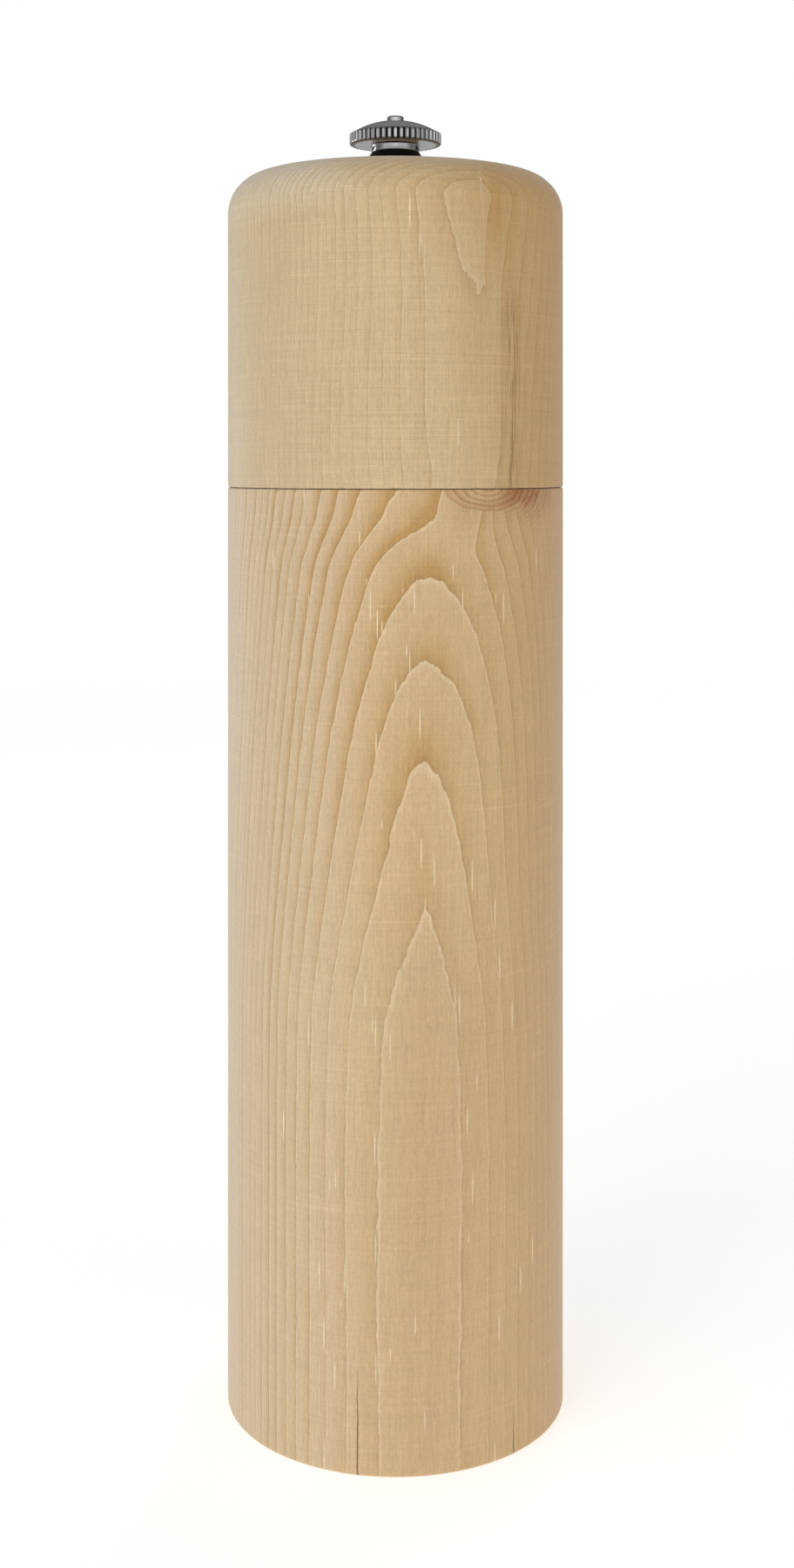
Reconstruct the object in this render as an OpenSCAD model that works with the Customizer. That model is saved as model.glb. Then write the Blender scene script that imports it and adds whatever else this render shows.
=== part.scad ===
// Pepper mill: a turned wooden body and head, a knurled nut on a square shaft, and a steel burr set.
// Millimetres, +Z up, origin at the centre of the base.

/* [Wooden shells] */
// Outside diameter of the body and of the head
mill_d = 70; // [68:0.5:76]
// Height of the body, from the base to the seam
body_h = 189.5; // [120:0.5:240]
// Height of the head above the seam
head_h = 67.3; // [50:0.1:90]
// Radius of the shallow crown of the head
crown_r = 170; // [120:5:300]
// Radius of the rounded shoulder of the head
shoulder_r = 8.4; // [4:0.2:12]
// Broken edge on each side of the seam
seam_ease = 0.2; // [0.1:0.05:0.5]
// Broken edge round the base
base_ease = 0.8; // [0.4:0.1:1.5]
// Diameter of the bore that holds the peppercorns
hopper_d = 34; // [32:0.5:35]
// Diameter of the tenon under the head
tenon_d = 40; // [38:0.5:42]
// Length of the tenon under the head
tenon_l = 13; // [10:0.5:16]
// Diameter of the shaft's hole through the head
head_bore_d = 9.5; // [9:0.1:10.5]

/* [Base recess] */
// Diameter of the recess in the base
recess_d = 50; // [49.5:0.5:54]
// Depth of the recess in the base
recess_h = 8; // [7.5:0.1:10]

/* [Knob] */
// Diameter over the knurl
knob_d = 19.2; // [18:0.1:22]
// Height of the knurled band
knurl_h = 2.4; // [1.8:0.1:3]
// Rise of the knob's crown above the knurl
knob_rise = 2.8; // [2.6:0.1:4]
// Number of knurl grooves
knurl_count = 48; // [36:2:60]
// Depth of a knurl groove
knurl_depth = 0.5; // [0.3:0.05:0.6]
// Diameter of the knob's neck
neck_d = 10; // [9.5:0.1:11]
// Length of the knob's neck below the knurled disc
neck_h = 1.5; // [1.2:0.1:2.5]
// Height of the flared washer under the knob
washer_h = 2.85; // [2.5:0.05:4]
// Diameter of the flared washer's foot
washer_d = 13.2; // [12.5:0.1:14]

/* [Shaft] */
// Width of the square shaft
shaft_w = 6; // [5.8:0.1:6]
// Major diameter of the thread at the top
thread_d = 5; // [4.8:0.1:5]
// Pitch of the thread
thread_pitch = 0.8; // [0.7:0.05:1]
// Diameter of the plain tip above the thread
tip_d = 3.45; // [3:0.05:3.6]
// How far the tip stands out of the knob
tip_out = 0.9; // [0.5:0.1:1.5]

/* [Burrs] */
// Outside diameter of the fixed burr
stator_d = 35; // [34.5:0.1:35.5]
// Number of fine teeth on each burr
fine_teeth = 30; // [24:2:36]
// Number of feed grooves on each burr
feed_grooves = 7; // [5:1:8]
// Lift of the shaft from the coarsest to the finest grind
grind_travel = 1.6; // [1:0.1:1.6]

/* [Hidden] */
$fn = 96;

// Clearances
slip = 0.4;      // tenon in its socket, on the radius
running = 0.08;  // shaft and bushes, on the radius or per side
past = 1;        // how far a cutter runs past a face

// Colours
wood = [0.86, 0.72, 0.50];
steel = [0.62, 0.63, 0.65];
dark_steel = [0.35, 0.35, 0.37];
chrome = [0.80, 0.81, 0.83];
brass = [0.80, 0.65, 0.30];
black = [0.10, 0.10, 0.10];
nylon = [0.16, 0.16, 0.17];
white_nylon = [0.88, 0.88, 0.84];

// Shells
mill_r = mill_d / 2;
hopper_r = hopper_d / 2;
recess_r = recess_d / 2;
tenon_r = tenon_d / 2;
socket_r = tenon_r + slip;
socket_h = tenon_l + 1;
wood_top = body_h + head_h;
tenon_end = body_h - tenon_l;
head_bore_r = head_bore_d / 2;

// Burr set, from the base up
bar_t = 1.5;
bar_w = 14;
bar_screw_x = 22.3;
flange_t = 2;
bar_top = recess_h - flange_t;
bar_bottom = bar_top - bar_t;
housing_r = 20;
housing_top = bar_top + 22;
bridge_t = 1.2;
housing_recess_top = housing_top + bridge_t;
stator_r = stator_d / 2;
stator_top = bar_top + 16.5;
key_w = 2.4;
key_deep = 1;
key_h = 10;

// Pivot bush
bush_r = 5.4;
bush_flange_r = 7.4;
bush_flange_t = 1;
bush_foot = 0.3;
square_hole = shaft_w + 2 * running;

// Rotor and what holds it
clip_t = 0.9;
clip_bottom = bar_top + bush_flange_t;
clip_r = 5.2;
clip_groove_r = 2.4;
rotor_bottom = clip_bottom + clip_t;
rotor_h = 14.1;
rotor_top = rotor_bottom + rotor_h;
rotor_fine_h = 5;
rotor_base_r = 13.95;
rotor_waist_r = 12.4;
rotor_top_r = 7;
rotor_hub_r = 6.2;
rotor_pocket_r = 11;
rotor_pocket_h = 3;

// Stator's inner cone
throat_z = bar_top + 6.5;
throat_r = 13.2;
stator_flare = 1 / 3;
stator_mouth_r = 16.4;

// Spring
wire_d = 1;
coil_r = 5.5;
washer_t = 0.8;
spring_bottom = rotor_top + washer_t;
spring_h = 11;
spring_top = spring_bottom + spring_h;
spring_turns = 5.3;
end_turns = 0.9;
clear_hole_r = 4.5;
spring_washer_r = 7;
seat_lip = 1.2;
bridge_z = spring_top + washer_t;
bridge_w = 9;
bridge_hub_r = 7.5;
bridge_hole_r = 4.6;

// Drive plate
plate_r = 15;
plate_t = 1.5;
plate_screw_r = 10.5;
plate_screws = 3;

// Knob and washer
seat_drop = 0.15;
seat_z = wood_top - seat_drop;
neck_z = seat_z + washer_h;
neck_r = neck_d / 2;
disc_z = neck_z + neck_h;
knob_r = knob_d / 2;
knurl_top = disc_z + knurl_h;
knob_top = knurl_top + knob_rise;
insert_r = 4;
thread_r = thread_d / 2;
thread_bore_r = thread_r + running;
insert_top = knob_top - 1.7;
tip_r = tip_d / 2;
shaft_top = knob_top + tip_out;
thread_top = insert_top - grind_travel - 0.2;
bush_h = 8;
head_bush_r = 5.5;
square_top = seat_z - bush_h - grind_travel - 1;
shaft_bottom = bar_bottom - 1.9;

// Points along an arc about [x, z], from angle a0 to a1.
function arc(x, z, r, a0, a1, steps) =
    [for (i = [0:steps]) let (a = a0 + (a1 - a0) * i / steps) [x + r * cos(a), z + r * sin(a)]];

// The head's outside: crown, shoulder, side.
module head_outline() {
    crown_z = wood_top - crown_r;
    shoulder_x = mill_r - shoulder_r;
    reach = crown_r - shoulder_r;
    shoulder_z = crown_z + sqrt(reach * reach - shoulder_x * shoulder_x);
    tangent = acos(shoulder_x / reach);
    polygon(concat(
        [[0, tenon_end], [tenon_r - 0.6, tenon_end], [tenon_r, tenon_end + 0.6], [tenon_r, body_h]],
        [[mill_r - seam_ease, body_h], [mill_r, body_h + seam_ease]],
        arc(shoulder_x, shoulder_z, shoulder_r, 0, tangent, 14),
        arc(0, crown_z, crown_r, tangent, 90, 10)
    ));
}

// A wood screw standing on its tip along +Z, with the underside of its head at z = 0.
module wood_screw(shank_r, length, head_r, head_h, countersunk) {
    tip_h = 2.5 * shank_r;
    slot_w = 0.32 * head_r;
    difference() {
        union() {
            cylinder(r = shank_r, h = length - tip_h);
            translate([0, 0, length - tip_h]) cylinder(r1 = shank_r, r2 = 0.1, h = tip_h);
            if (countersunk)
                mirror([0, 0, 1]) cylinder(r1 = shank_r, r2 = head_r, h = head_h);
            else
                rotate_extrude() polygon([
                    [0, 0], [head_r, 0], [head_r, -0.45 * head_h], [0.72 * head_r, -head_h], [0, -head_h]
                ]);
        }
        for (turn = [0, 90])
            rotate([0, 0, turn]) translate([-0.6 * head_r, -slot_w / 2, -head_h - past])
                cube([1.2 * head_r, slot_w, 0.55 * head_h + past]);
    }
}

// Both crossbar screws, or the holes for them.
module at_bar_screws() {
    for (side = [-1, 1]) translate([side * bar_screw_x, 0, bar_bottom]) children();
}

// The drive plate's screws, or the holes for them.
module at_plate_screws() {
    for (i = [0:plate_screws - 1])
        rotate([0, 0, 90 + i * 360 / plate_screws]) translate([plate_screw_r, 0, tenon_end]) children();
}

// A ring of straight V grooves that lean along a cone: r and z are the middle of the cone's wall,
// slope its angle from the axis, lean the angle of the groove from the cone's own line.
module v_grooves(count, r, z, slope, lean, width, depth, length, outward) {
    side = outward ? 1 : -1;
    for (i = [0:count - 1])
        rotate([0, 0, i * 360 / count]) translate([r, 0, z]) rotate([0, slope, 0]) rotate([lean, 0, 0])
            linear_extrude(height = length, center = true)
                polygon([[-side * depth, 0], [side * depth, width], [side * depth, -width]]);
}

module square_bar(width, z0, z1) {
    translate([-width / 2, -width / 2, z0]) cube([width, width, z1 - z0]);
}

module body_shell() {
    color(wood) difference() {
        rotate_extrude() polygon([
            [0, 0], [mill_r - base_ease, 0], [mill_r, base_ease],
            [mill_r, body_h - seam_ease], [mill_r - seam_ease, body_h], [0, body_h]
        ]);
        translate([0, 0, -past]) cylinder(r = hopper_r, h = body_h + 2 * past);
        translate([0, 0, -past]) cylinder(r = housing_r, h = housing_recess_top + past);
        translate([0, 0, -past]) cylinder(r = recess_r, h = recess_h + past);
        translate([0, 0, body_h - socket_h]) cylinder(r = socket_r, h = socket_h + past);
        at_bar_screws() cylinder(r = 1.5, h = 14);
    }
}

module burr_housing() {
    color(nylon) difference() {
        union() {
            rotate_extrude() polygon([
                [stator_r, bar_top], [recess_r - 0.4, bar_top], [recess_r - 0.4, recess_h],
                [housing_r, recess_h], [housing_r, housing_top], [stator_r + 0.1, housing_top],
                [stator_mouth_r, stator_top], [stator_r, stator_top]
            ]);
            for (side = [0, 180])
                rotate([0, 0, 90 + side]) translate([stator_r - key_deep, -key_w / 2, bar_top + flange_t])
                    cube([key_deep + 0.5, key_w, key_h]);
        }
        at_bar_screws() cylinder(r = 1.6, h = flange_t + bar_t + past);
    }
}

module stator() {
    foot_r = throat_r + (throat_z - bar_top) * stator_flare;
    upper_slope = atan((stator_mouth_r - throat_r) / (stator_top - throat_z));
    color(dark_steel) difference() {
        rotate_extrude() polygon([
            [foot_r, bar_top], [stator_r, bar_top], [stator_r, stator_top],
            [stator_mouth_r, stator_top], [throat_r, throat_z]
        ]);
        v_grooves(fine_teeth, (foot_r + throat_r) / 2, (bar_top + throat_z) / 2, -atan(stator_flare), 14,
                  0.75, 0.7, 8.4, true);
        v_grooves(2 * feed_grooves, (stator_mouth_r + throat_r) / 2 - 0.2, (throat_z + stator_top) / 2,
                  upper_slope, -16, 1.5, 0.9, 13, true);
        for (side = [0, 180])
            rotate([0, 0, 90 + side])
                translate([stator_r - key_deep - 0.1, -key_w / 2 - 0.1, bar_top + flange_t - past])
                    cube([key_deep + past, key_w + 0.2, key_h + past + 0.1]);
    }
}

module bridge() {
    foot_x = 14.6;
    shelf_x = 9;
    lean = 0.5;
    hub_top = bridge_z + bridge_t;
    under = [[-housing_r, housing_top], [-foot_x, housing_top], [-shelf_x, bridge_z],
             [shelf_x, bridge_z], [foot_x, housing_top], [housing_r, housing_top]];
    over = [[housing_r, housing_recess_top], [foot_x + lean, housing_recess_top],
            [shelf_x + lean, hub_top], [-shelf_x - lean, hub_top],
            [-foot_x - lean, housing_recess_top], [-housing_r, housing_recess_top]];
    color(steel) difference() {
        union() {
            intersection() {
                rotate([90, 0, 0]) linear_extrude(height = bridge_w, center = true)
                    polygon(concat(under, over));
                cylinder(r = housing_r - 0.1, h = hub_top + past);
            }
            translate([0, 0, bridge_z]) cylinder(r = bridge_hub_r, h = bridge_t);
        }
        translate([0, 0, bridge_z - past]) cylinder(r = bridge_hole_r, h = bridge_t + 2 * past);
    }
}

module spring_seat() {
    color(white_nylon) rotate_extrude() polygon([
        [clear_hole_r, spring_top - seat_lip], [coil_r - wire_d / 2 - 0.05, spring_top - seat_lip],
        [coil_r - wire_d / 2 - 0.05, spring_top], [spring_washer_r, spring_top],
        [spring_washer_r, bridge_z], [clear_hole_r, bridge_z]
    ]);
}

// Height of the spring's centreline after t turns: close-wound ends, open middle.
spring_rise = spring_h - wire_d;
end_pitch = 1.06 * wire_d;
mid_pitch = (spring_rise - 2 * end_turns * end_pitch) / (spring_turns - 2 * end_turns);
function coil_z(t) =
    t < end_turns ? t * end_pitch
    : t > spring_turns - end_turns ? spring_rise - (spring_turns - t) * end_pitch
    : end_turns * end_pitch + (t - end_turns) * mid_pitch;

module spring() {
    sides = 10;
    rings = 150;
    points = [
        for (i = [0:rings - 1], s = [0:sides - 1])
            let (t = spring_turns * i / (rings - 1), a = 360 * t, b = 360 * s / sides,
                 r = coil_r + wire_d / 2 * cos(b))
            [r * cos(a), r * sin(a), spring_bottom + wire_d / 2 + coil_z(t) + wire_d / 2 * sin(b)]
    ];
    walls = [
        for (i = [0:rings - 2], s = [0:sides - 1])
            let (a = i * sides + s, b = i * sides + (s + 1) % sides)
            each [[a, b, b + sides], [a, b + sides, a + sides]]
    ];
    first = [for (s = [sides - 1:-1:0]) s];
    last = [for (s = [0:sides - 1]) (rings - 1) * sides + s];
    color(steel) polyhedron(points = points, faces = concat([first], walls, [last]));
}

module crossbar() {
    color(steel) difference() {
        intersection() {
            translate([-recess_r, -bar_w / 2, bar_bottom]) cube([recess_d, bar_w, bar_t]);
            translate([0, 0, bar_bottom - past]) cylinder(r = recess_r - 0.5, h = bar_t + 2 * past);
        }
        translate([0, 0, bar_bottom - past]) cylinder(r = bush_r + running, h = bar_t + 2 * past);
        at_bar_screws() translate([0, 0, -past]) cylinder(r = 1.7, h = bar_t + 2 * past);
    }
}

module crossbar_screws() {
    color(steel) at_bar_screws() wood_screw(1.5, 14, 2.6, 1.8, false);
}

module pivot_bush() {
    color(brass) difference() {
        union() {
            translate([0, 0, bar_bottom - bush_foot]) cylinder(r = bush_r, h = bar_t + bush_foot);
            translate([0, 0, bar_top]) cylinder(r = bush_flange_r, h = bush_flange_t);
        }
        square_bar(square_hole, bar_bottom - past, bar_top + bush_flange_t + past);
    }
}

module shaft() {
    crest = thread_pitch / 2;
    root_r = thread_r - 0.43;
    turns = floor((thread_top - square_top) / thread_pitch) - 1;
    tip_ease = 0.35;
    color(steel) union() {
        square_bar(shaft_w, shaft_bottom, clip_bottom);
        translate([0, 0, clip_bottom - 0.1]) cylinder(r = clip_groove_r, h = clip_t + 0.2);
        square_bar(shaft_w, rotor_bottom, square_top);
        rotate_extrude() polygon(concat(
            [[0, square_top - 0.1], [thread_r, square_top - 0.1], [thread_r, square_top + 0.3]],
            [for (i = [0:turns - 1]) each [
                [root_r, square_top + 0.3 + i * thread_pitch + crest],
                [thread_r, square_top + 0.3 + (i + 1) * thread_pitch]
            ]],
            [[root_r, thread_top - 0.3], [root_r, thread_top], [tip_r, thread_top]],
            [[tip_r, shaft_top - tip_ease]],
            arc(tip_r - tip_ease, shaft_top - tip_ease, tip_ease, 30, 90, 2),
            [[0, shaft_top]]
        ));
    }
}

module rotor() {
    fine_slope = atan((rotor_base_r - rotor_waist_r) / rotor_fine_h);
    upper_slope = atan((rotor_waist_r - rotor_top_r) / (rotor_h - rotor_fine_h));
    waist_z = rotor_bottom + rotor_fine_h;
    color(dark_steel) difference() {
        rotate_extrude() polygon([
            [0, rotor_bottom], [rotor_hub_r, rotor_bottom], [rotor_hub_r, rotor_bottom + rotor_pocket_h],
            [rotor_pocket_r - 1, rotor_bottom + rotor_pocket_h], [rotor_pocket_r, rotor_bottom],
            [rotor_base_r, rotor_bottom], [rotor_waist_r, waist_z], [rotor_top_r, rotor_top],
            [0, rotor_top]
        ]);
        v_grooves(fine_teeth, (rotor_base_r + rotor_waist_r) / 2, (rotor_bottom + waist_z) / 2,
                  -fine_slope, -14, 0.7, 0.65, 7, false);
        v_grooves(feed_grooves, (rotor_waist_r + rotor_top_r) / 2 + 0.4, (waist_z + rotor_top) / 2 + 0.5,
                  -upper_slope, 24, 2.4, 1.7, 16, false);
        square_bar(square_hole, rotor_bottom - past, rotor_top + past);
    }
}

module rotor_clip() {
    gap_w = 3.4;
    color(steel) translate([0, 0, clip_bottom]) difference() {
        cylinder(r = clip_r, h = clip_t);
        translate([0, 0, -past]) cylinder(r = clip_groove_r, h = clip_t + 2 * past);
        translate([0, -gap_w / 2, -past]) cube([clip_r + past, gap_w, clip_t + 2 * past]);
        for (turn = [100, 260])
            rotate([0, 0, turn]) translate([clip_groove_r + 0.6, 0, -past])
                cylinder(r = 1, h = clip_t + 2 * past);
    }
}

module thrust_washer() {
    color(white_nylon) translate([0, 0, rotor_top]) difference() {
        cylinder(r = spring_washer_r, h = washer_t);
        translate([0, 0, -past]) cylinder(r = clear_hole_r, h = washer_t + 2 * past);
    }
}

module head_shell() {
    color(wood) difference() {
        rotate_extrude() head_outline();
        translate([0, 0, tenon_end - past]) cylinder(r = head_bore_r, h = tenon_l + head_h + 2 * past);
        translate([0, 0, tenon_end - past]) cylinder(r = plate_r, h = plate_t + past);
        translate([0, 0, seat_z - bush_h]) cylinder(r = head_bush_r, h = bush_h + past);
        translate([0, 0, seat_z]) cylinder(r = washer_d / 2 + 0.3, h = past);
        at_plate_screws() cylinder(r = 1.25, h = 11);
    }
}

module head_bush() {
    color(brass) translate([0, 0, seat_z - bush_h]) difference() {
        cylinder(r = head_bush_r, h = bush_h);
        translate([0, 0, -past]) cylinder(r = thread_bore_r, h = bush_h + 2 * past);
    }
}

module drive_plate() {
    color(steel) difference() {
        translate([0, 0, tenon_end]) cylinder(r = plate_r, h = plate_t);
        square_bar(square_hole, tenon_end - past, tenon_end + plate_t + past);
        at_plate_screws() {
            translate([0, 0, -past]) cylinder(r = 1.25, h = plate_t + 2 * past);
            cylinder(r1 = 2.4, r2 = 1.25, h = 1.2);
        }
    }
}

module drive_plate_screws() {
    color(steel) at_plate_screws() translate([0, 0, 1.2]) wood_screw(1.25, 9.8, 2.4, 1.2, true);
}

module knob_washer() {
    foot_r = washer_d / 2;
    waist_z = neck_z - 1.1;
    color(black) rotate_extrude() polygon([
        [thread_r + 0.2, seat_z], [foot_r, seat_z], [foot_r, seat_z + 0.5], [neck_r + 0.65, waist_z],
        [neck_r, neck_z], [thread_r + 0.2, neck_z]
    ]);
}

module knob() {
    rim_ease = 0.45;
    crown_x = knob_r - 0.25;
    ball_r = (crown_x * crown_x + knob_rise * knob_rise) / (2 * knob_rise);
    edge_angle = acos(crown_x / ball_r);
    groove_step = 360 / knurl_count;
    flare = 1.06;
    color(chrome) difference() {
        intersection() {
            rotate_extrude() polygon(concat(
                [[0, neck_z], [neck_r, neck_z], [neck_r, disc_z], [knob_r - 2 * rim_ease, disc_z]],
                arc(knob_r - rim_ease, disc_z + rim_ease, rim_ease, -60, 0, 3),
                [[knob_r, knurl_top - 0.2]],
                arc(0, knob_top - ball_r, ball_r, edge_angle, 90, 14)
            ));
            translate([0, 0, neck_z - past]) linear_extrude(height = knob_top - neck_z + 2 * past)
                polygon([for (i = [0:knurl_count - 1]) each [
                    flare * knob_r * [cos(i * groove_step), sin(i * groove_step)],
                    flare * knob_r * [cos((i + 0.12) * groove_step), sin((i + 0.12) * groove_step)],
                    (knob_r - knurl_depth) * [cos((i + 0.56) * groove_step), sin((i + 0.56) * groove_step)]
                ]]);
        }
        translate([0, 0, neck_z - past]) cylinder(r = insert_r, h = insert_top - neck_z + past);
        cylinder(r = tip_r + running, h = knob_top + past);
    }
}

module knob_insert() {
    color(brass) translate([0, 0, neck_z]) difference() {
        cylinder(r = insert_r, h = insert_top - neck_z);
        translate([0, 0, -past]) cylinder(r = thread_bore_r, h = insert_top - neck_z + 2 * past);
    }
}

body_shell();
burr_housing();
stator();
bridge();
spring_seat();
spring();
crossbar();
crossbar_screws();
pivot_bush();
shaft();
rotor();
rotor_clip();
thrust_washer();
head_shell();
head_bush();
drive_plate();
drive_plate_screws();
knob_washer();
knob();
knob_insert();
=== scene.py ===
import math

import bmesh
import bpy
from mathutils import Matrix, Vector, noise


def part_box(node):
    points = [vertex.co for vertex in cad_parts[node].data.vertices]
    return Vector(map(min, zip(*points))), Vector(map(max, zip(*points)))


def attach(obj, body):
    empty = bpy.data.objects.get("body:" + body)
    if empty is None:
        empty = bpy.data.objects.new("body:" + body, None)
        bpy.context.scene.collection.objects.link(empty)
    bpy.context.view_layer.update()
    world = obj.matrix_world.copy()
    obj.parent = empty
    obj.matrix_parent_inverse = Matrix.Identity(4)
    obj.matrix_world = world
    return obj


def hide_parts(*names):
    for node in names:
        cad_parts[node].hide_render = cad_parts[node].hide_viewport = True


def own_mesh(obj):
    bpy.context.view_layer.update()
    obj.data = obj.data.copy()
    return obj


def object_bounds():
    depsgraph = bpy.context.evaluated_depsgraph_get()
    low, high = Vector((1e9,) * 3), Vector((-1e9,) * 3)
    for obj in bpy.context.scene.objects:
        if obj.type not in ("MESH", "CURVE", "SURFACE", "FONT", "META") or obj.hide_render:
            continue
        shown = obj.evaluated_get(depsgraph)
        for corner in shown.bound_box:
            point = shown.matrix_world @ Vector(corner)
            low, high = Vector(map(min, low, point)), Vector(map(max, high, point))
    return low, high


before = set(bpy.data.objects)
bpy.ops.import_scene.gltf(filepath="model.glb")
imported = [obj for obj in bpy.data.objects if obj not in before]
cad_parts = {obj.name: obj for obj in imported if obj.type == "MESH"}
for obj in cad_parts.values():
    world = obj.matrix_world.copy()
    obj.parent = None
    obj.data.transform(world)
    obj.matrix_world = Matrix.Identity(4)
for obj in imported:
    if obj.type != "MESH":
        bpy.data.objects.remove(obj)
cad_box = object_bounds()
scene = bpy.context.scene
MM = 0.001

# ---------------------------------------------------------------- where the CAD parts are

_, body_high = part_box("body_shell")
_, housing_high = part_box("burr_housing")
bush_low, bush_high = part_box("head_bush")
plate_low, plate_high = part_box("drive_plate")
collar_low, collar_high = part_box("knob_washer")
knob_low, knob_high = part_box("knob")
_, insert_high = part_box("knob_insert")
spring_low, spring_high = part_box("spring")

MILL_R = body_high.x
SEAM_Z = body_high.z
HOUSING_R = 20.0 * MM
HOPPER_R = 17.0 * MM
RECESS_R = 25.0 * MM
RECESS_TOP = 8.0 * MM
SOCKET_R = 20.4 * MM
SOCKET_DEPTH = 14.0 * MM
TENON_R = 20.0 * MM
HEAD_BORE_R = 4.75 * MM
CROWN_R = 170.0 * MM
SHOULDER_R = 8.4 * MM
CROWN_Z = SEAM_Z + 67.3 * MM
DISC_UP = 1.5 * MM
KNURL_BAND = 2.4 * MM


# ---------------------------------------------------------------- materials as arithmetic

class Num:
    """A number that runs through a material's nodes, so that its formula reads as arithmetic."""

    def __init__(self, tree, socket):
        self.tree = tree
        self.socket = socket

    def op(self, operation, *others):
        node = self.tree.nodes.new("ShaderNodeMath")
        node.operation = operation
        for slot, value in zip(node.inputs, (self, *others)):
            plug(self.tree, slot, value)
        return Num(self.tree, node.outputs[0])

    def __add__(self, other):
        return self.op("ADD", other)

    def __radd__(self, other):
        return self.op("ADD", other)

    def __sub__(self, other):
        return self.op("SUBTRACT", other)

    def __rsub__(self, other):
        return (self * -1.0) + other

    def __mul__(self, other):
        return self.op("MULTIPLY", other)

    def __truediv__(self, other):
        return self.op("DIVIDE", other)

    def __pow__(self, other):
        return self.op("POWER", other)

    def sqrt(self):
        return self.op("SQRT")

    def exp(self):
        return self.op("EXPONENT")

    def abs(self):
        return self.op("ABSOLUTE")

    def fract(self):
        return self.op("FRACT")

    def floor(self):
        return self.op("FLOOR")

    def sin(self):
        return self.op("SINE")

    def above(self, low):
        return self.op("MAXIMUM", low)

    def below(self, high):
        return self.op("MINIMUM", high)

    def rise(self, start, end):
        """0 before start and 1 after end, with a smooth step between; start may be the larger."""
        node = self.tree.nodes.new("ShaderNodeMapRange")
        node.interpolation_type = "SMOOTHSTEP"
        plug(self.tree, node.inputs["Value"], self)
        flip = start > end
        node.inputs["From Min"].default_value = min(start, end)
        node.inputs["From Max"].default_value = max(start, end)
        node.inputs["To Min"].default_value = 1.0 if flip else 0.0
        node.inputs["To Max"].default_value = 0.0 if flip else 1.0
        return Num(self.tree, node.outputs["Result"])

    def bell(self, centre, width):
        """1 at centre, falling to 1/e at width to either side."""
        away = (self - centre) * (1.0 / width)
        return (away * away * -1.0).exp()


def plug(tree, slot, value):
    """Links a Num or a socket to slot, or sets slot to a plain number or colour."""
    if isinstance(value, Num):
        tree.links.new(value.socket, slot)
    elif isinstance(value, bpy.types.NodeSocket):
        tree.links.new(value, slot)
    elif slot.type == "VECTOR":
        slot.default_value = value[:3]
    else:
        slot.default_value = value


def srgb(red, green, blue):
    """A colour picked on an 0 to 255 screen scale, as the linear colour that shaders take."""
    def linear(c):
        c = c / 255.0
        return c / 12.92 if c <= 0.04045 else ((c + 0.055) / 1.055) ** 2.4
    return (linear(red), linear(green), linear(blue), 1.0)


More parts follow.
